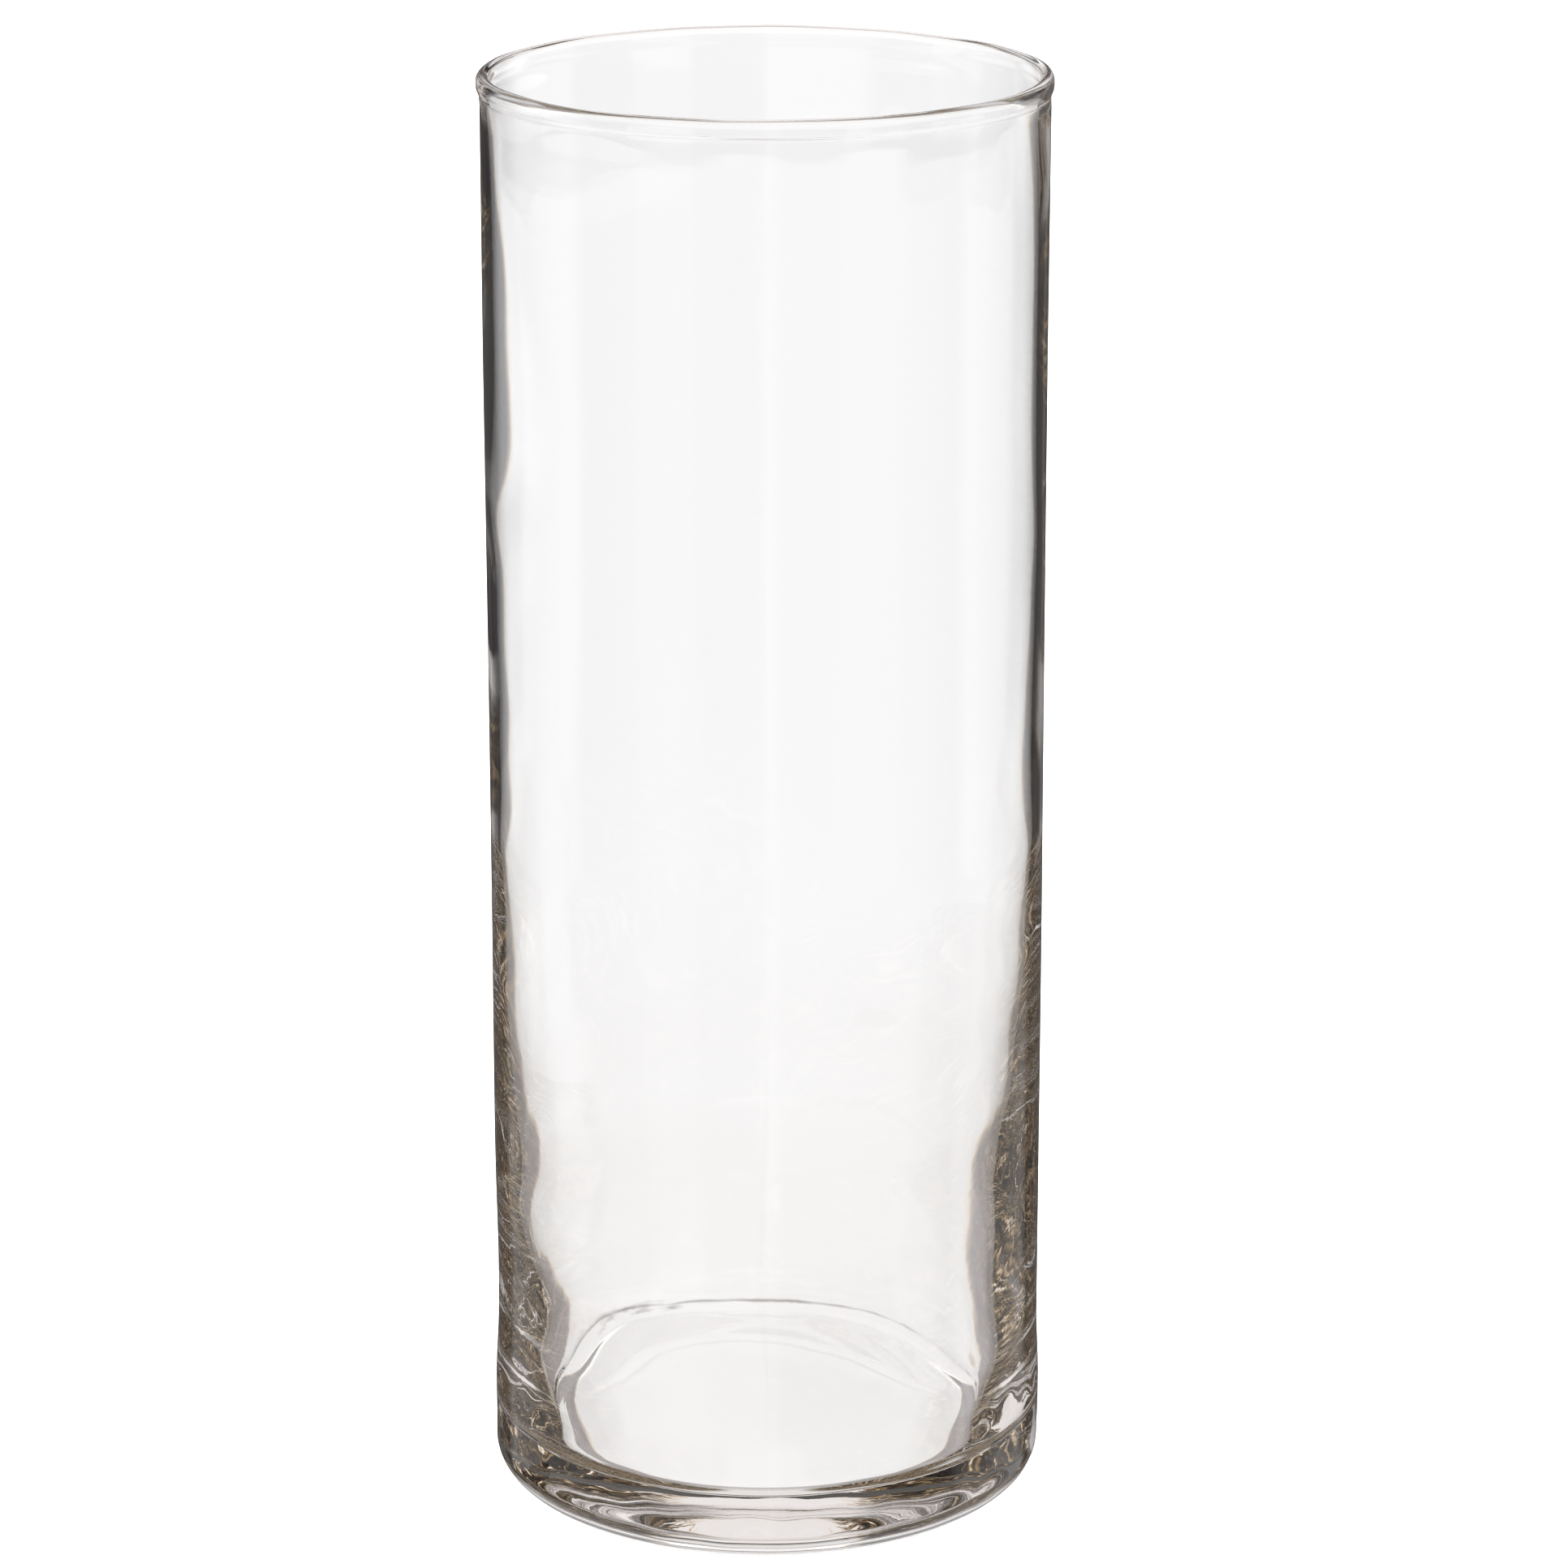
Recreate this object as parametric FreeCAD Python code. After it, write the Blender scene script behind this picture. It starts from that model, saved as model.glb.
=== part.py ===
# Glass cylinder vase, clear soda-lime glass, blown and fire-polished in one piece.
#
# Frame: +Z up along the axis, origin at the centre of the foot, on the plane
# the vase stands on. Millimetres.
#
# The vase is a single body of glass. Its section, from the middle of the
# underside outwards and up:
#   - a very shallow push-up under the base, so that it stands on a ring and not
#     on a dome;
#   - a flat standing ring and a tight rounded heel;
#   - a foot band, where the mould's bottom plate leaves the glass very
#     slightly wider than the body, ending in a soft shoulder;
#   - the straight body;
#   - a fire-polished rim that swells outwards into a small bead.
# Inside, a thin even wall runs down from the rim and then thickens over the
# lower half of the vase, and a generous fillet carries it into the thick floor.

import FreeCAD
import Part
import math
import os

from FreeCAD import Vector

os.makedirs("parts", exist_ok=True)

# ---- driving dimensions, mm ------------------------------------------------

HEIGHT = 235.0            # foot to top of rim
BODY_R = 45.0             # outside radius of the straight body
WALL = 1.6                # wall thickness over the upper half
CAVITY_R = BODY_R - WALL  # 43.4, the round mouth and upper cavity

FOOT_BAND_R = 45.4        # outside radius of the foot band
FOOT_BAND_TOP = 15.0      # where the shoulder starts
SHOULDER_TOP = 27.0       # where the shoulder has run out into the body
HEEL_R = 5.0              # heel rounding
PUSH_UP_R = 31.0          # radius of the push-up under the base
PUSH_UP_H = 0.5           # its height on the axis

BEAD_OUT = 0.5            # how far the rim bead stands proud of the body
BEAD_H = 3.8              # height of the bead, with the rounded lip
BEAD_MID = 1.35           # depth below the top of the widest point

FLOOR_Z = 8.8             # inside floor, at its edge
FLOOR_CROWN = 0.3         # how much the middle of the floor stands higher
FLOOR_FLAT_R = 33.8       # where the fillet starts
TAPER_TOP_Z = 112.0       # where the wall has reached its even thickness

# inside radius of the lower cavity against height, from the fillet to the
# start of the even wall
CAVITY_SECTION = [
    (35.20, 8.94),
    (36.40, 9.36),
    (37.20, 10.10),
    (37.66, 11.20),
    (37.92, 13.20),
    (38.30, 20.00),
    (38.62, 28.00),
    (39.20, 38.00),
    (40.00, 50.00),
    (40.88, 61.00),
    (41.80, 73.00),
    (42.52, 86.00),
    (43.05, 99.00),
]


def spline(points, start_tangent=None, end_tangent=None):
    """An interpolating curve through (r, z) points in the XZ plane."""
    curve = Part.BSplineCurve()
    at = [Vector(r, 0, z) for r, z in points]
    if start_tangent is None:
        curve.interpolate(at)
    else:
        curve.interpolate(
            Points=at,
            InitialTangent=Vector(start_tangent[0], 0, start_tangent[1]),
            FinalTangent=Vector(end_tangent[0], 0, end_tangent[1]),
        )
    return curve.toShape()


def line(a, b):
    return Part.LineSegment(Vector(a[0], 0, a[1]), Vector(b[0], 0, b[1])).toShape()


def arc(a, mid, b):
    return Part.Arc(
        Vector(a[0], 0, a[1]), Vector(mid[0], 0, mid[1]), Vector(b[0], 0, b[1])
    ).toShape()


# ---- section, anticlockwise from the axis under the base -------------------

edges = []

# push-up: a very flat arc that meets the standing ring
ring_in = (PUSH_UP_R, 0.0)
edges.append(
    spline(
        [
            (0.0, PUSH_UP_H),
            (PUSH_UP_R * 0.35, PUSH_UP_H * 0.90),
            (PUSH_UP_R * 0.68, PUSH_UP_H * 0.52),
            (PUSH_UP_R * 0.90, PUSH_UP_H * 0.12),
            ring_in,
        ],
        (1, 0),
        (1, 0),
    )
)

# standing ring
heel_start = (FOOT_BAND_R - HEEL_R, 0.0)
edges.append(line(ring_in, heel_start))

# heel
heel_end = (FOOT_BAND_R, HEEL_R)
c45 = HEEL_R * (1 - math.cos(math.radians(45)))
edges.append(arc(heel_start, (FOOT_BAND_R - c45, c45), heel_end))

# foot band, shoulder and body
band_top = (FOOT_BAND_R, FOOT_BAND_TOP)
edges.append(line(heel_end, band_top))
body_low = (BODY_R, SHOULDER_TOP)
edges.append(
    spline(
        [
            band_top,
            ((FOOT_BAND_R + BODY_R) / 2, (FOOT_BAND_TOP + SHOULDER_TOP) / 2),
            body_low,
        ],
        (0, 1),
        (0, 1),
    )
)
bead_low = (BODY_R, HEIGHT - BEAD_H)
edges.append(line(body_low, bead_low))

# bead and lip: out to the widest point, over the top and back to the wall
bead_wide = (BODY_R + BEAD_OUT, HEIGHT - BEAD_MID)
lip_top_r = (BODY_R + BEAD_OUT + CAVITY_R) / 2
lip_top = (lip_top_r, HEIGHT)
bead_in = (CAVITY_R, HEIGHT - BEAD_MID)
edges.append(
    spline(
        [
            bead_low,
            (BODY_R + BEAD_OUT * 0.32, HEIGHT - BEAD_H * 0.80),
            (BODY_R + BEAD_OUT * 0.86, HEIGHT - BEAD_H * 0.60),
            bead_wide,
        ],
        (0, 1),
        (0, 1),
    )
)
half_lip = (bead_wide[0] - bead_in[0]) / 2
q = math.sqrt(0.5)
edges.append(
    spline(
        [
            bead_wide,
            (lip_top_r + half_lip * q, HEIGHT - BEAD_MID * (1 - q)),
            lip_top,
            (lip_top_r - half_lip * q, HEIGHT - BEAD_MID * (1 - q)),
            bead_in,
        ],
        (0, 1),
        (0, -1),
    )
)

# even wall of the mouth and upper cavity
wall_low = (CAVITY_R, TAPER_TOP_Z)
edges.append(line(bead_in, wall_low))

# thickening wall, fillet and the edge of the floor
floor_edge = (FLOOR_FLAT_R, FLOOR_Z)
edges.append(
    spline(
        [wall_low] + list(reversed(CAVITY_SECTION)) + [floor_edge],
        (0, -1),
        (-1, 0),
    )
)

# floor, very slightly crowned
floor_mid = (0.0, FLOOR_Z + FLOOR_CROWN)
edges.append(
    spline(
        [
            floor_edge,
            (FLOOR_FLAT_R * 0.72, FLOOR_Z + FLOOR_CROWN * 0.30),
            (FLOOR_FLAT_R * 0.38, FLOOR_Z + FLOOR_CROWN * 0.78),
            floor_mid,
        ],
        (-1, 0),
        (-1, 0),
    )
)

# the axis closes the section
edges.append(line(floor_mid, (0.0, PUSH_UP_H)))

wire = Part.Wire(Part.__sortEdges__(edges))
if not wire.isClosed():
    raise RuntimeError("the section is open")
section = Part.Face(wire)
body = section.revolve(Vector(0, 0, 0), Vector(0, 0, 1), 360)
vase = Part.Solid(body.Shells[0]) if body.ShapeType != "Solid" else body
if vase.Volume < 0:
    vase.reverse()
if not vase.isValid():
    raise RuntimeError("the vase isn't a valid solid")

vase.exportStep("parts/glass_vase.step")

box = vase.BoundBox
print(
    "glass_vase: volume %.0f mm3, mass %.0f g, box %.2f x %.2f x %.2f mm"
    % (
        vase.Volume,
        vase.Volume * 2.5e-3,
        box.XLength,
        box.YLength,
        box.ZLength,
    )
)
# what the vase holds, to 10 mm under the rim
brim = HEIGHT - 10.0
plug = Part.makeCylinder(BODY_R - 0.01, brim - FLOOR_Z + 0.5, Vector(0, 0, FLOOR_Z - 0.5))
inside = plug.cut(vase)
liquid = max((s.Volume for s in inside.Solids), default=0)
print("holds about %.0f ml to 10 mm under the rim" % (liquid / 1000.0))
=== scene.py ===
import bpy
import math
import numpy as np
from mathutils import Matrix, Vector


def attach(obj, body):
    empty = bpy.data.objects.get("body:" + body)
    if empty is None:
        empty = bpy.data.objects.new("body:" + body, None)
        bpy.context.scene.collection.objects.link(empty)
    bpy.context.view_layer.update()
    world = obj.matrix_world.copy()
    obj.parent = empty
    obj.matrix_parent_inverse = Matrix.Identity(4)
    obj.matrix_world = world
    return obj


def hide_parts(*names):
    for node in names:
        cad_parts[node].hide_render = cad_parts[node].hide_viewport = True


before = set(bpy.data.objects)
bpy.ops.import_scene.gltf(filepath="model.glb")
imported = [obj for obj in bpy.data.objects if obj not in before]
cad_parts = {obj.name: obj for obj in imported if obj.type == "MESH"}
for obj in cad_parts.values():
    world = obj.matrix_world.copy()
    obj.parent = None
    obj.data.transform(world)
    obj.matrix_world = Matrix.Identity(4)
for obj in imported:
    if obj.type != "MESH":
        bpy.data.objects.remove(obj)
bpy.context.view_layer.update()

# ---------------------------------------------------------------- camera
# An ordinary camera, no lens shift: 0.9 m from the axis, looking down 16.7 deg.
cam_data = bpy.data.cameras.new("camera")
cam_data.sensor_width = 36.0
cam_data.lens = 132.28
cam_data.clip_start, cam_data.clip_end = 0.05, 60.0
cam = bpy.data.objects.new("camera", cam_data)
cam.location = (0.00294, -0.900, 0.38745)
cam.rotation_euler = (math.radians(90.0 - 16.677), 0.0, 0.0)
bpy.context.scene.collection.objects.link(cam)
bpy.context.scene.camera = cam

# ---------------------------------------------------------------- the section
# Millimetres, the same section as the CAD body: from the axis under the base,
# out round the heel, up the body, over the bead and down the inside.
H = 235.0
BODY_R, CAVITY_R = 45.0, 43.4
FOOT_R, FOOT_TOP, SHOULDER_TOP, HEEL = 45.4, 15.0, 27.0, 5.0
PUSH_R, PUSH_H = 31.0, 0.5
BEAD_OUT, BEAD_H, BEAD_MID = 0.5, 3.8, 1.35
FLOOR_Z, FLOOR_CROWN, FLOOR_R, TAPER_TOP = 8.8, 0.3, 33.8, 112.0
CAVITY = [
    (33.80, 8.80), (35.20, 8.94), (36.40, 9.36), (37.20, 10.10), (37.66, 11.20), (37.92, 13.20),
    (38.30, 20.00), (38.62, 28.00), (39.20, 38.00), (40.00, 50.00), (40.88, 61.00),
    (41.80, 73.00), (42.52, 86.00), (43.05, 99.00), (43.40, 112.00),
]


def curve_through(points, n, t0, t1):
    """n points, evenly spaced along a smooth curve through the given ones, with the end directions t0 and t1."""
    p = np.array(points, float)
    u = np.r_[0, np.cumsum(np.hypot(*np.diff(p, axis=0).T))]
    m = len(p)
    out = []
    for k in range(2):
        a = np.zeros((m, m)); b = np.zeros(m)
        a[0, 0] = 1; b[0] = t0[k]
        a[-1, -1] = 1; b[-1] = t1[k]
        for i in range(1, m - 1):
            h0, h1 = u[i] - u[i - 1], u[i + 1] - u[i]
            a[i, i - 1], a[i, i], a[i, i + 1] = h1, 2 * (h0 + h1), h0
            b[i] = 3 * (h1 * (p[i, k] - p[i - 1, k]) / h0 + h0 * (p[i + 1, k] - p[i, k]) / h1)
        out.append(np.linalg.solve(a, b))
    s = np.array(out).T
    fine = []
    for i in range(m - 1):
        h = u[i + 1] - u[i]
        t = np.linspace(0, 1, 60, endpoint=False)[:, None]
        fine.append(
            (2 * t**3 - 3 * t**2 + 1) * p[i] + (t**3 - 2 * t**2 + t) * h * s[i]
            + (-2 * t**3 + 3 * t**2) * p[i + 1] + (t**3 - t**2) * h * s[i + 1]
        )
    fine.append(p[-1:])
    fine = np.concatenate(fine)
    v = np.r_[0, np.cumsum(np.hypot(*np.diff(fine, axis=0).T))]
    w = np.linspace(0, v[-1], n)
    return np.c_[np.interp(w, v, fine[:, 0]), np.interp(w, v, fine[:, 1])]


def section():
    """The rings from the middle of the underside to the middle of the floor, each (r, z, where)."""
    rings = []

    def add(points, where):
        for r, z in points:
            rings.append((float(r), float(z), where))

    x = np.linspace(0.03, 1, 20)
    add(np.c_[PUSH_R * x, PUSH_H * np.clip(1 - x**2.2, 0, 1) ** 1.2], "under")
    add([(r, 0.0) for r in np.linspace(PUSH_R + 1.6, FOOT_R - HEEL - 0.4, 6)], "under")
    t = np.linspace(0, math.pi / 2, 15)
    add(np.c_[FOOT_R - HEEL + HEEL * np.sin(t), HEEL - HEEL * np.cos(t)], "heel")
    add([(FOOT_R, z) for z in np.linspace(HEEL + 1.4, FOOT_TOP - 0.8, 6)], "outer")
    t = np.linspace(0, 1, 11)
    add(np.c_[BODY_R + (FOOT_R - BODY_R) * (1 - t * t * (3 - 2 * t)), FOOT_TOP + (SHOULDER_TOP - FOOT_TOP) * t], "outer")
    add([(BODY_R, z) for z in np.linspace(SHOULDER_TOP + 2.0, H - BEAD_H - 1.6, 84)], "outer")
    half = (BODY_R + BEAD_OUT - CAVITY_R) / 2
    top_r = CAVITY_R + half
    q = math.sqrt(0.5)
    add(curve_through([(BODY_R, H - BEAD_H), (BODY_R + BEAD_OUT * 0.32, H - BEAD_H * 0.80),
                       (BODY_R + BEAD_OUT * 0.86, H - BEAD_H * 0.60), (BODY_R + BEAD_OUT, H - BEAD_MID)], 12, (0, 1), (0, 1))[:-1], "bead")
    t = np.linspace(0, math.pi, 25)
    add(np.c_[top_r + half * np.cos(t), H - BEAD_MID + BEAD_MID * np.sin(t)], "bead")
    add([(CAVITY_R, z) for z in np.linspace(H - BEAD_MID - 0.9, H - BEAD_H - 2.5, 6)], "inner")
    add([(CAVITY_R, z) for z in np.linspace(H - BEAD_H - 4.6, TAPER_TOP + 1.5, 46)], "inner")
    low = curve_through(CAVITY[::-1], 118, (0, -1), (-1, 0))
    add(low, "inner")
    x = np.linspace(0.96, 0.03, 20)
    add(np.c_[FLOOR_R * x, FLOOR_Z + FLOOR_CROWN * (1 - x * x) ** 1.2], "floor")
    return rings


# ---------------------------------------------------------------- unevenness
rng = np.random.default_rng(19)


def waves(count, around, along, rng=rng):
    """A smooth wavy function of angle (radians) and height (mm): whole numbers of waves around within `around`, wavelengths in mm along within `along`. Its standard deviation is 1."""
    m = rng.integers(around[0], around[1] + 1, count)
    k = 2 * math.pi / np.exp(rng.uniform(math.log(along[0]), math.log(along[1]), count)) * rng.choice([-1, 1], count)
    ph = rng.uniform(0, 2 * math.pi, count)

    def f(th, z):
        out = np.zeros(np.broadcast(th, z).shape)
        for a, b, c in zip(m, k, ph):
            out = out + np.cos(a * th + b * z + c)
        return out / math.sqrt(count / 2)

    return f


def smooth(a, b, x):
    t = np.clip((x - a) / (b - a), 0, 1)
    return t * t * (3 - 2 * t)


def patch(th, z, th0, dth, z0, dz):
    """A soft patch, 1 in the middle, centred on an angle in degrees and a height in mm."""
    d = (np.degrees(th) - th0 + 180) % 360 - 180
    return np.exp(-0.5 * (d / dth) ** 2 - 0.5 * ((z - z0) / dz) ** 2)


out_long = waves(14, (2, 6), (70, 220))
out_mid = waves(20, (4, 14), (22, 60))
in_long = waves(14, (2, 7), (50, 180))
in_mid = waves(24, (5, 18), (14, 45))
in_low = waves(34, (7, 34), (7, 26))
rumple = waves(44, (14, 52), (6, 24))
edge_wave = waves(16, (3, 13), (1e6, 2e6))
bead_wave = waves(16, (3, 16), (1e6, 2e6))
heel_wave = waves(36, (10, 34), (7, 24))


def eased(points):
    """A smooth function of height through roughly these (height, value) points, mm."""
    zs = np.arange(0.0, 236.0, 0.5)
    v = np.interp(zs, *np.array(points, float).T)
    k = np.exp(-0.5 * (np.arange(-16, 17) * 0.5 / 2.2) ** 2)
    v = np.convolve(np.pad(v, 16, mode="edge"), k / k.sum(), mode="valid")
    return lambda z: np.interp(z, zs, v)


# the wall runs thicker on the right than on the left, most of all low down: the change of the cavity's radius
wall_right = eased([(9, 0), (13, 0.2), (18, 0.6), (24, 0.7), (30, 0.45), (38, 0.15), (46, 0.0), (54, -0.1), (60, 0.0), (68, 0.27),
                    (76, 0.23), (89, 0.24), (96, 0.12), (110, 0.06), (235, 0.05)])
wall_left = eased([(9, 0), (13, 0.2), (18, 0.5), (24, 0.6), (30, 0.6), (35, 0.9), (42, 1.5), (48, 1.6), (55, 1.2), (65, 1.07),
                   (76, 0.73), (89, 0.34), (99, 0.2), (110, 0.1), (235, 0.12)])


def displace(th, r, z, where):
    """How far the surface stands off the plain section along its normal, mm; plus is away from the glass for both sides."""
    c = np.cos(th)
    if where in ("outer", "heel", "under"):
        d = 0.030 * out_long(th, z) + 0.002 * out_mid(th, z)
        d = d * smooth(0, 12, z)
        # the right-hand side leans out very slightly towards the foot
        d = d + 0.22 * smooth(200, 90, z) * np.clip(c, 0, 1) * smooth(0, 14, z)
        # a slight waist above the foot band on the left
        d = d - 0.28 * patch(th, z, 180, 50, 36, 9)
        # small waves round the foot, where the glass lay against the mould's bottom
        if where != "under":
            d = d + 0.016 * heel_wave(th, z) * smooth(20, 8, z) * smooth(0, 2.5, z)
        return d
    if where == "bead":
        return 0.05 * bead_wave(th, z) + 0.10 * patch(th, z, -25, 4.0, H, 60)
    if where == "floor":
        return np.zeros_like(th)
    # inside: minus d is thicker wall, so the sign is that of the radius
    low = smooth(125, 70, z)
    d = 0.035 * in_long(th, z) * (1 - low) + 0.004 * in_mid(th, z)
    right, left = (1 + c) / 2, (1 - c) / 2
    d = d + right * wall_right(z) + left * wall_left(z)
    d = d + 0.0020 * low * in_low(th, z)
    # a nick in the gather, high on the left
    d = d + 0.18 * patch(th, z, 180, 28, 164, 5)
    # rumples where the glass chilled against the mould, low on each side
    d = d + 0.005 * rumple(th, z) * (patch(th, z, 180, 14, 36, 5) + patch(th, z, 0, 12, 52, 7))
    # broken marks where the floor turns up, at the back on the left
    marks = patch(th, z, 138, 8.0, 10.4, 1.2) + 0.8 * patch(th, z, 119, 3.0, 10.8, 1.2)
    d = d - 0.40 * marks * (0.6 + 0.4 * np.cos(37 * th + 1.3 * z) * np.cos(3.1 * z))
    return d


def build_vase():
    rings = section()
    n_th = 256
    th = np.arange(n_th) * 2 * math.pi / n_th
    rz = np.array([(r, z) for r, z, _ in rings])
    tan = np.gradient(rz, axis=0)
    tan /= np.hypot(*tan.T)[:, None]
    nor = np.c_[tan[:, 1], -tan[:, 0]]  # out of the glass: the section runs with the glass on its left
    verts = []
    for (r, z, where), (nr, nz) in zip(rings, nor):
        d = displace(th, r, np.full_like(th, z), where)
        if where == "inner":
            # d is a change of the cavity's radius, faded into the floor
            k = smooth(8.8, 11.0, z)
            rr, zz = r + d * k, z + 0.03 * edge_wave(th, z) * smooth(16, 9, z)
        elif where == "floor":
            rr, zz = np.full_like(th, r), z + d + 0.03 * edge_wave(th, z) * smooth(0.2, 1.0, r / FLOOR_R)
        else:
            rr, zz = r + d * nr, z + d * nz * (0 if where == "under" else 1)
        verts.append(np.c_[rr * np.cos(th), rr * np.sin(th), zz])
    n_r = len(verts)
    co = np.concatenate(verts + [np.array([[0, 0, PUSH_H], [0, 0, FLOOR_Z + FLOOR_CROWN]])]) / 1000.0
    i = np.arange(n_r - 1)[:, None] * n_th
    j = np.arange(n_th)[None, :]
    j1 = (j + 1) % n_th
    quads = np.stack([i + j, i + j1, i + n_th + j1, i + n_th + j], -1).reshape(-1, 4)
    a, b = n_r * n_th, n_r * n_th + 1
    jj = np.arange(n_th)
    first = np.stack([np.full(n_th, a), (jj + 1) % n_th, jj], -1)
    last = np.stack([np.full(n_th, b), (n_r - 1) * n_th + jj, (n_r - 1) * n_th + (jj + 1) % n_th], -1)
    me = bpy.data.meshes.new("vase")
    me.from_pydata(co.tolist(), [], quads.tolist() + first.tolist() + last.tolist())
    me.validate()
    me.polygons.foreach_set("use_smooth", [True] * len(me.polygons))
    me.update()
    ob = bpy.data.objects.new("vase", me)
    bpy.context.scene.collection.objects.link(ob)
    return ob


vase = build_vase()

# ---------------------------------------------------------------- glass
def glass_material():
    mat = bpy.data.materials.new("clear_glass")
    mat.use_nodes = True
    nt = mat.node_tree
    n, l = nt.nodes, nt.links
    n.clear()

    def math_node(op, a, b=None, c=None):
        m = n.new("ShaderNodeMath")
        m.operation = op
        for i, v in enumerate((a, b, c)):
            if v is None:
                continue
            if isinstance(v, (int, float)):
                m.inputs[i].default_value = v
            else:
                l.new(v, m.inputs[i])
        return m.outputs[0]

    def noise(vector, scale, detail, rough=0.5):
        t = n.new("ShaderNodeTexNoise")
        t.inputs["Scale"].default_value = scale
        t.inputs["Detail"].default_value = detail
        t.inputs["Roughness"].default_value = rough
        l.new(vector, t.inputs["Vector"])
        return t.outputs[0]

    out = n.new("ShaderNodeOutputMaterial")
    b = n.new("ShaderNodeBsdfPrincipled")
    b.inputs["Base Color"].default_value = (1.0, 1.0, 1.0, 1)
    b.inputs["Transmission Weight"].default_value = 1.0
    b.inputs["IOR"].default_value = 1.517
    l.new(b.outputs["BSDF"], out.inputs["Surface"])

    # place on the wall, millimetres: round from the front, and up
    co = n.new("ShaderNodeTexCoord")
    sep = n.new("ShaderNodeSeparateXYZ")
    l.new(co.outputs["Object"], sep.inputs[0])
    x, y, z = sep.outputs
    u = math_node("MULTIPLY", math_node("ABSOLUTE", math_node("ARCTAN2", x, math_node("MULTIPLY", y, -1.0))), 45.0)
    v = math_node("MULTIPLY", z, 1000.0)
    r = math_node("MULTIPLY", math_node("SQRT", math_node("ADD", math_node("MULTIPLY", x, x), math_node("MULTIPLY", y, y))), 1000.0)

    # flow lines drawn slantwise through the thick glass low down, and a finer skin all over
    flow = n.new("ShaderNodeCombineXYZ")
    l.new(math_node("MULTIPLY", math_node("ADD", u, v), 0.05), flow.inputs[0])
    l.new(math_node("MULTIPLY", math_node("SUBTRACT", u, v), 0.45), flow.inputs[1])
    l.new(math_node("MULTIPLY", r, 0.2), flow.inputs[2])
    lines = noise(flow.outputs[0], 1.0, 1.0, 0.5)
    skin = n.new("ShaderNodeCombineXYZ")
    l.new(math_node("MULTIPLY", u, 0.12), skin.inputs[0])
    l.new(math_node("MULTIPLY", v, 0.5), skin.inputs[1])
    l.new(math_node("MULTIPLY", r, 0.3), skin.inputs[2])
    fine = noise(skin.outputs[0], 1.0, 1.0, 0.5)
    low = n.new("ShaderNodeMapRange")
    low.interpolation_type = "SMOOTHSTEP"
    l.new(v, low.inputs["Value"])
    for name, val in (("From Min", 105.0), ("From Max", 55.0), ("To Min", 0.0), ("To Max", 1.0)):
        low.inputs[name].default_value = val
    wall = n.new("ShaderNodeMapRange")
    wall.interpolation_type = "SMOOTHSTEP"
    l.new(r, wall.inputs["Value"])
    for name, val in (("From Min", 33.0), ("From Max", 37.5), ("To Min", 0.0), ("To Max", 1.0)):
        wall.inputs[name].default_value = val
    height = math_node("MULTIPLY", math_node("MULTIPLY", lines, low.outputs[0]), wall.outputs[0])
    height = math_node("ADD", height, math_node("MULTIPLY", fine, 0.22))

    # a darker grey tint in soft broken patches along the edge of the floor, at the back on the left
    def within(value, *edges):
        out = None
        for lo, hi in edges:
            m = n.new("ShaderNodeMapRange")
            m.interpolation_type = "SMOOTHSTEP"
            l.new(value, m.inputs["Value"])
            m.inputs["From Min"].default_value, m.inputs["From Max"].default_value = lo, hi
            out = m.outputs[0] if out is None else math_node("MULTIPLY", out, m.outputs[0])
        return out

    turn = math_node("MULTIPLY", math_node("ARCTAN2", y, x), 180 / math.pi)
    place = math_node("MULTIPLY", within(turn, (112.0, 118.0), (152.0, 145.0)), within(v, (8.9, 9.3), (11.4, 10.2)))
    place = math_node("MULTIPLY", place, within(r, (34.6, 35.6), (38.6, 37.8)))
    tint_coords = n.new("ShaderNodeCombineXYZ")
    l.new(math_node("MULTIPLY", u, 0.12), tint_coords.inputs[0])
    l.new(math_node("MULTIPLY", v, 0.5), tint_coords.inputs[1])
    l.new(math_node("MULTIPLY", r, 0.5), tint_coords.inputs[2])
    broken = within(noise(tint_coords.outputs[0], 1.0, 2.0, 0.5), (0.40, 0.66))
    marked = math_node("MULTIPLY", broken, place)
    # the glass's base colour goes grey inside these patches
    tint = n.new("ShaderNodeMix")
    tint.data_type = "RGBA"
    l.new(marked, tint.inputs["Factor"])
    tint.inputs["A"].default_value = (1.0, 1.0, 1.0, 1)
    tint.inputs["B"].default_value = (0.34, 0.33, 0.33, 1)
    l.new(tint.outputs["Result"], b.inputs["Base Color"])
    bump = n.new("ShaderNodeBump")
    bump.inputs["Strength"].default_value = 1.0
    bump.inputs["Distance"].default_value = 0.0000025
    l.new(height, bump.inputs["Height"])
    l.new(bump.outputs[0], b.inputs["Normal"])

    # fire-polished, with the faintest handling haze
    haze = n.new("ShaderNodeMapRange")
    l.new(noise(co.outputs["Object"], 42.0, 1.0, 0.5), haze.inputs["Value"])
    for name, val in (("From Min", 0.35), ("From Max", 0.75), ("To Min", 0.0), ("To Max", 0.008)):
        haze.inputs[name].default_value = val
    l.new(haze.outputs[0], b.inputs["Roughness"])

    absorb = n.new("ShaderNodeVolumeAbsorption")
    absorb.inputs["Color"].default_value = (0.86, 0.82, 0.81, 1)
    absorb.inputs["Density"].default_value = 2.2
    l.new(absorb.outputs["Volume"], out.inputs["Volume"])
    return mat


vase.data.materials.append(glass_material())
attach(vase, "root")
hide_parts("glass_vase")

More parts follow.
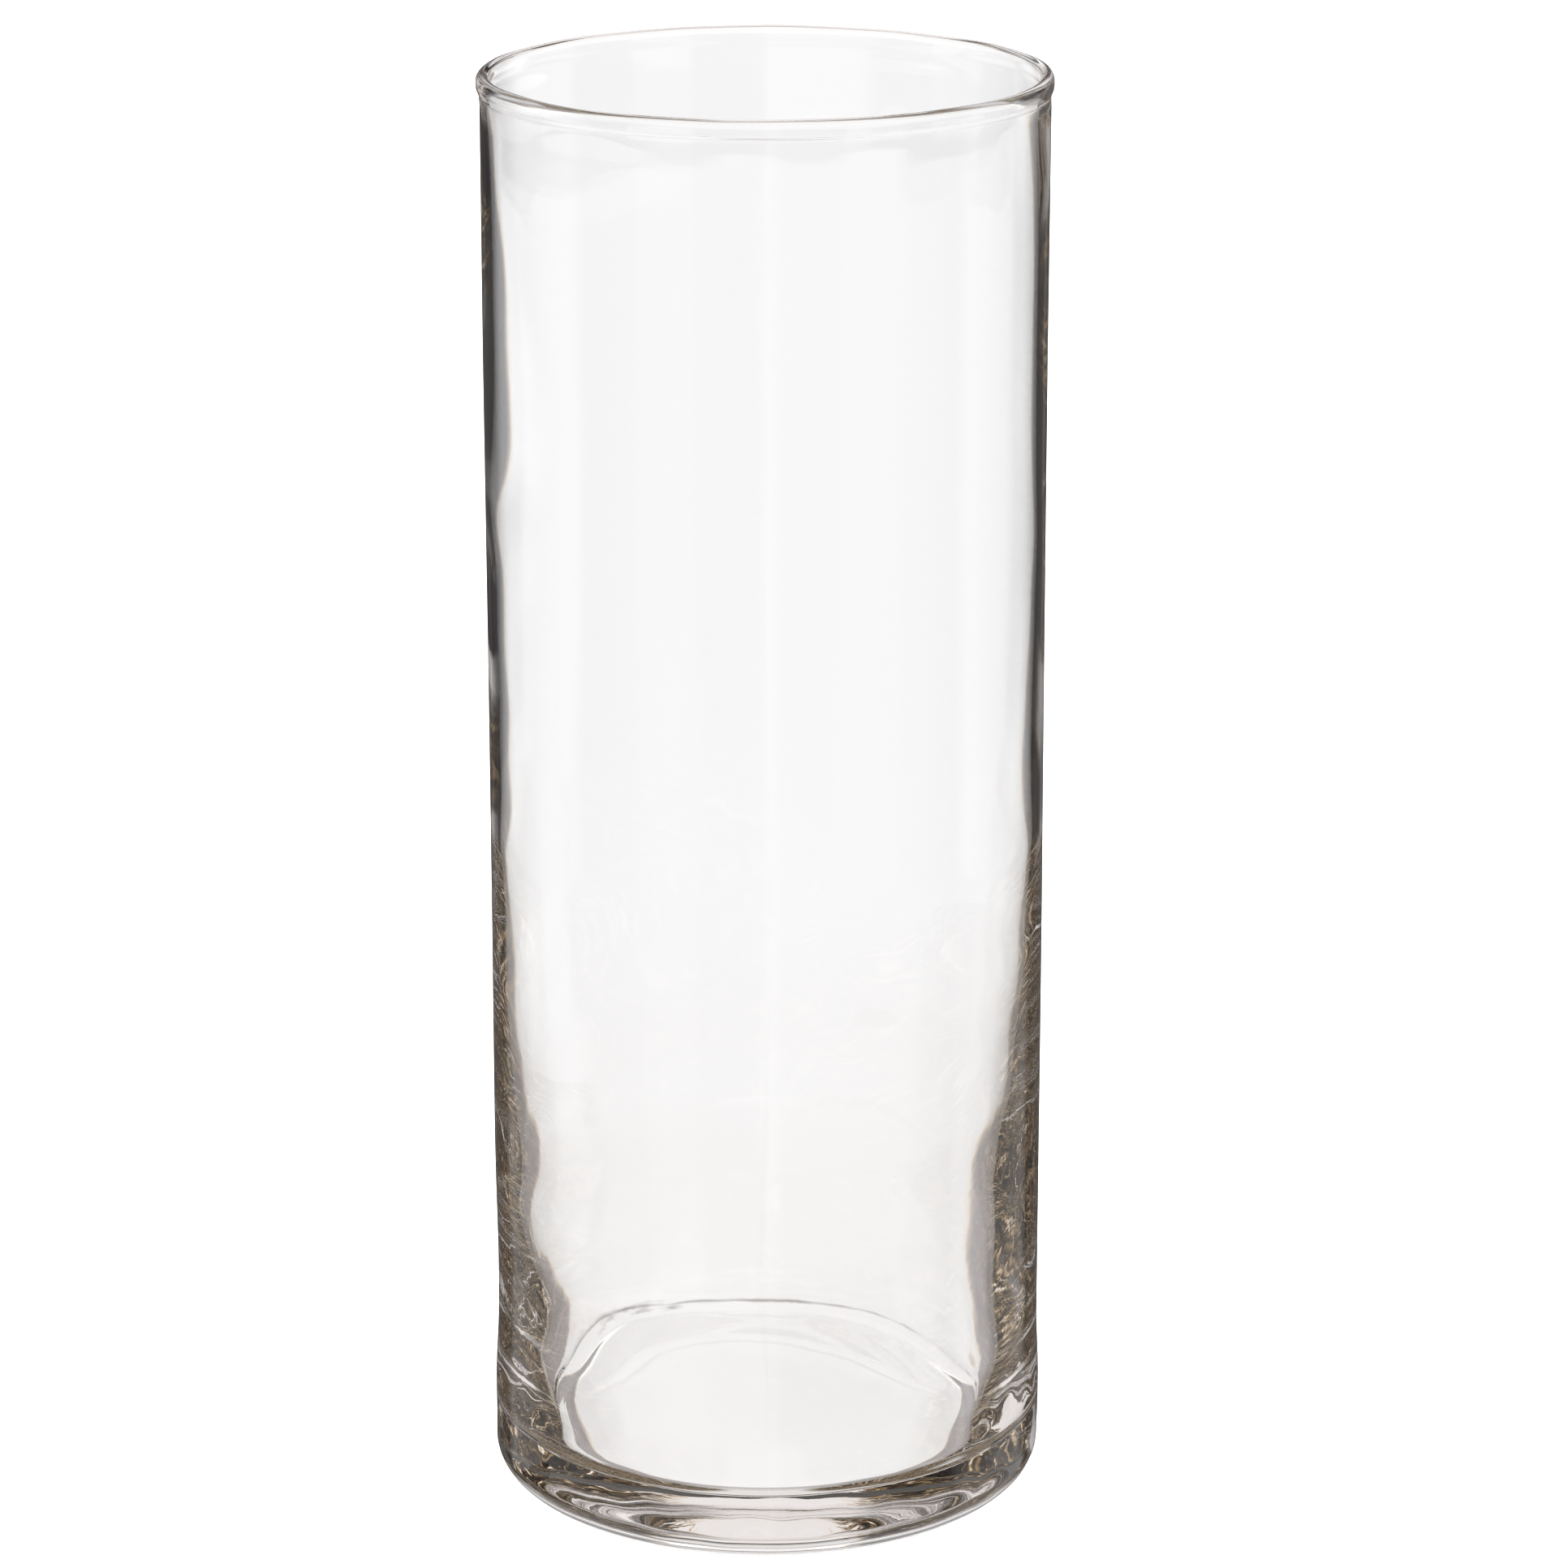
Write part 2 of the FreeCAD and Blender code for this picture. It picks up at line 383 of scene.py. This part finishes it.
# ---------------------------------------------------------------- floor and studio
floor_me = bpy.data.meshes.new("floor")
s = 14.0
floor_me.from_pydata([(-s, -s, 0), (s, -s, 0), (s, s, 0), (-s, s, 0)], [], [(0, 1, 2, 3)])
floor = bpy.data.objects.new("floor", floor_me)
floor.location.z = -0.0003
bpy.context.scene.collection.objects.link(floor)
fm = bpy.data.materials.new("floor")
fm.use_nodes = True
fb = fm.node_tree.nodes["Principled BSDF"]
fb.inputs["Base Color"].default_value = (0.9, 0.9, 0.9, 1)
fb.inputs["Roughness"].default_value = 0.9
fb.inputs["Specular IOR Level"].default_value = 0.0
floor_me.materials.append(fm)
floor.visible_glossy = False
floor.visible_transmission = False


def studio():
    world = bpy.data.worlds.new("studio")
    bpy.context.scene.world = world
    world.use_nodes = True
    nt = world.node_tree
    n, l = nt.nodes, nt.links
    n.clear()

    def math_node(op, a, b=None, c=None, clamp=False):
        m = n.new("ShaderNodeMath")
        m.operation = op
        m.use_clamp = clamp
        for i, v in enumerate((a, b, c)):
            if v is None:
                continue
            if isinstance(v, (int, float)):
                m.inputs[i].default_value = v
            else:
                l.new(v, m.inputs[i])
        return m.outputs[0]

    def ramp(x, stops):
        r = n.new("ShaderNodeValToRGB")
        r.color_ramp.interpolation = "LINEAR"
        e = r.color_ramp.elements
        while len(e) < len(stops):
            e.new(0.5)
        for k, (p, col) in enumerate(stops):
            e[k].position = p
            e[k].color = (*col, 1) if len(col) == 3 else col
        l.new(x, r.inputs[0])
        return r.outputs[0]

    def mixed(factor, a, b, kind="MIX"):
        m = n.new("ShaderNodeMix")
        m.data_type = "RGBA"
        m.blend_type = kind
        for name, v in (("Factor", factor), ("A", a), ("B", b)):
            if isinstance(v, (int, float)):
                m.inputs[name].default_value = v
            elif isinstance(v, tuple):
                m.inputs[name].default_value = (*v, 1)
            else:
                l.new(v, m.inputs[name])
        return m.outputs["Result"]

    def between(x, lo, hi):
        m = n.new("ShaderNodeMapRange")
        m.interpolation_type = "SMOOTHSTEP"
        l.new(x, m.inputs["Value"])
        m.inputs["From Min"].default_value = lo
        m.inputs["From Max"].default_value = hi
        return m.outputs[0]

    def channels(a, b, keep):
        """a where keep is white, b where it is black, each channel by itself, so an edge can be warm or cool."""
        split = []
        for v in (a, b, keep):
            c = n.new("ShaderNodeSeparateColor")
            if isinstance(v, tuple):
                c.inputs[0].default_value = (*v, 1)
            else:
                l.new(v, c.inputs[0])
            split.append(c)
        comb = n.new("ShaderNodeCombineColor")
        for k in range(3):
            one = math_node("MULTIPLY", split[0].outputs[k], split[2].outputs[k])
            two = math_node("MULTIPLY", split[1].outputs[k], math_node("SUBTRACT", 1.0, split[2].outputs[k]))
            l.new(math_node("ADD", one, two), comb.inputs[k])
        return comb.outputs[0]

    def off(centre):
        return math_node("ABSOLUTE", math_node("SUBTRACT", az, centre))

    def least(*v):
        out = v[0]
        for w in v[1:]:
            out = math_node("MINIMUM", out, w)
        return out

    co = n.new("ShaderNodeTexCoord")
    sep = n.new("ShaderNodeSeparateXYZ")
    l.new(co.outputs["Generated"], sep.inputs[0])
    x, y, z = sep.outputs
    az = math_node("MULTIPLY", math_node("ARCTAN2", x, y), 180 / math.pi)
    el = math_node("MULTIPLY", math_node("ARCSINE", z), 180 / math.pi)
    out_az = math_node("ABSOLUTE", az)
    lp = n.new("ShaderNodeLightPath")

    # how far a direction is from the middle of the nearest bright field, degrees
    hide = math_node("MULTIPLY", between(el, -17.0, -15.0), 100.0)
    # (the one behind the vase reaches a little further to the right)
    ahead = math_node("MAXIMUM", math_node("MULTIPLY", az, 0.80), math_node("MULTIPLY", az, -0.98))
    near = least(ahead, math_node("ADD", off(-45.0), hide), off(-90.0), off(135.0))
    hide2 = math_node("MULTIPLY", between(math_node("ABSOLUTE", el), 26.0, 24.5), 100.0)
    near2 = least(off(0.0), math_node("ADD", off(-45.0), hide2), off(-90.0), off(135.0))

    # how far it is from straight ahead for each view, for what the surfaces mirror
    near3 = least(
        out_az,
        off(135.0),
        math_node("ADD", off(-45.0), math_node("MULTIPLY", between(el, -24.5, -23.5), 100.0)),
        math_node("ADD", off(-90.0), math_node("MULTIPLY", between(el, -10.5, -11.5), 100.0)),
    )

    def field_edge(d):
        return ramp(math_node("DIVIDE", d, 45.0), [
            (0.0, (1.0, 1.0, 1.0)), (0.270, (1.0, 1.0, 1.0)), (0.292, (1.0, 0.93, 0.82)), (0.312, (0.42, 0.30, 0.18)),
            (0.335, (0.02, 0.03, 0.06)), (0.36, (0.0, 0.0, 0.0)),
        ])

    # warm streaks, slanting a little, broken by noise
    where = n.new("ShaderNodeCombineXYZ")
    l.new(math_node("MULTIPLY", az, 0.06), where.inputs[0])
    l.new(math_node("MULTIPLY", math_node("MULTIPLY_ADD", out_az, 0.05, el), 4.2), where.inputs[1])
    noise = n.new("ShaderNodeTexNoise")
    noise.noise_dimensions = "2D"
    noise.inputs["Scale"].default_value = 1.0
    noise.inputs["Detail"].default_value = 4.0
    noise.inputs["Roughness"].default_value = 0.6
    noise.inputs["Distortion"].default_value = 0.5
    l.new(where.outputs[0], noise.inputs["Vector"])
    streaks = ramp(noise.outputs[0], [
        (0.0, (0.026, 0.023, 0.021)), (0.45, (0.030, 0.026, 0.023)), (0.50, (0.085, 0.060, 0.038)), (0.55, (0.20, 0.137, 0.074)),
        (0.60, (0.37, 0.262, 0.145)), (0.65, (0.60, 0.46, 0.30)), (0.73, (0.96, 0.91, 0.86)),
    ])
    where2 = n.new("ShaderNodeCombineXYZ")
    l.new(math_node("MULTIPLY", az, 0.20), where2.inputs[0])
    l.new(math_node("MULTIPLY", math_node("MULTIPLY_ADD", out_az, 0.06, el), 0.45), where2.inputs[1])
    noise2 = n.new("ShaderNodeTexNoise")
    noise2.noise_dimensions = "2D"
    noise2.inputs["Scale"].default_value = 1.0
    noise2.inputs["Detail"].default_value = 5.0
    noise2.inputs["Roughness"].default_value = 0.62
    noise2.inputs["Distortion"].default_value = 1.2
    l.new(where2.outputs[0], noise2.inputs["Vector"])
    bold = ramp(noise2.outputs[0], [
        (0.0, (0.010, 0.009, 0.010)), (0.48, (0.016, 0.013, 0.012)), (0.54, (0.085, 0.056, 0.030)), (0.59, (0.24, 0.158, 0.078)),
        (0.64, (0.50, 0.355, 0.195)), (0.70, (1.05, 0.96, 0.86)),
    ])
    ragged = math_node("MULTIPLY_ADD", math_node("SUBTRACT", noise2.outputs[0], 0.5), 26.0, near2)

    usual = between(el, -7.5, -9.8)
    low = between(el, -17.0, -19.0)
    overhead = between(el, 9.0, 15.0)
    white = mixed(between(el, -10.1, -10.6), (1.0, 0.995, 1.0), (1.07, 1.065, 1.07))
    white = mixed(math_node("MULTIPLY", between(near, 5.0, 11.0), between(el, -25.0, -19.0)), white, (1.48, 1.48, 1.48))
    white = mixed(between(el, -19.0, -27.0), white, (1.045, 1.03, 1.022))
    # light that has only passed through the glass
    side = mixed(low, (0.56, 0.555, 0.56), (0.45, 0.42, 0.42))
    tight = math_node("MULTIPLY", near, math_node("MULTIPLY_ADD", low, -0.22, 1.22))
    straight = channels(white, side, field_edge(tight))
    aside = between(math_node("ABSOLUTE", x), 0.17, 0.30)
    straight = mixed(between(el, -44.0, -50.0), straight, mixed(aside, (0.50, 0.48, 0.47), (0.36, 0.34, 0.33)))
    straight = mixed(between(el, -60.0, -75.0), straight, mixed(aside, (0.75, 0.72, 0.70), (0.42, 0.40, 0.39)))
    straight = mixed(overhead, straight, white)
    # light that has run along inside the base
    often = channels((0.91, 0.87, 0.85), bold, field_edge(ragged))
    pale = channels((0.86, 0.84, 0.83), (0.14, 0.13, 0.13), field_edge(near))
    # and less of it between the two, where it would fill the dark line down each side
    often = mixed(math_node("MULTIPLY", between(el, -9.6, -10.6), between(el, -18.0, -16.5)), often, (0.10, 0.095, 0.09))
    # light that has turned once inside a wall
    dim = channels((0.20, 0.19, 0.19), (0.006, 0.006, 0.008), field_edge(near))
    dim = mixed(low, dim, streaks)
    beside = between(math_node("MULTIPLY_ADD", low, -12.0, near3), 40.0, 50.0)
    once = mixed(beside, mixed(usual, pale, dim), (0.60, 0.59, 0.59))
    once = mixed(between(el, -38.0, -46.0), once, mixed(aside, (0.82, 0.79, 0.77), streaks))
    once = mixed(overhead, once, mixed(between(near2, 13.0, 16.0), (0.66, 0.64, 0.63), bold))
    glass = mixed(math_node("GREATER_THAN", lp.outputs["Glossy Depth"], 0.5), straight, once)
    glass = mixed(math_node("GREATER_THAN", lp.outputs["Glossy Depth"], 1.5), glass, often)
    # light that has been piped a long way inside the wall or the base
    steep = between(math_node("ABSOLUTE", x), 0.26, 0.42)
    held = mixed(between(el, 30.0, 42.0), bold, mixed(steep, (0.84, 0.80, 0.78), mixed(0.5, bold, (0.030, 0.026, 0.024))))
    glass = mixed(math_node("GREATER_THAN", lp.outputs["Glossy Depth"], 8.5), glass, held)
    # and all the way down from the rim
    glass = mixed(math_node("GREATER_THAN", lp.outputs["Glossy Depth"], 50.5), glass, (1.0, 0.97, 0.96))
    # mirror reflections off the outside: a soft room, dark straight ahead and light to the sides
    mirror = math_node("MULTIPLY", lp.outputs["Is Glossy Ray"], math_node("SUBTRACT", 1.0, lp.outputs["Is Transmission Ray"]))
    room = mixed(between(near3, 36.0, 46.0), (0.10, 0.093, 0.09), (0.62, 0.61, 0.61))
    room = mixed(between(near3, 85.0, 115.0), room, (0.27, 0.25, 0.25))
    room = mixed(between(el, -30.0, -38.0), room, (0.75, 0.73, 0.72))
    room = mixed(overhead, room, (0.85, 0.85, 0.85))
    seen = mixed(mirror, glass, room)
    plain = math_node("MAXIMUM", lp.outputs["Is Camera Ray"], math_node("GREATER_THAN", lp.outputs["Diffuse Depth"], 0.5))
    final = mixed(plain, seen, (3.0, 3.0, 3.0))
    bg = n.new("ShaderNodeBackground")
    l.new(final, bg.inputs["Color"])
    out = n.new("ShaderNodeOutputWorld")
    l.new(bg.outputs[0], out.inputs["Surface"])


studio()
sc = bpy.context.scene
sc.view_settings.view_transform = "Standard"
sc.view_settings.look = "None"
sc.cycles.max_bounces = 128
sc.cycles.transmission_bounces = 48
sc.cycles.glossy_bounces = 128
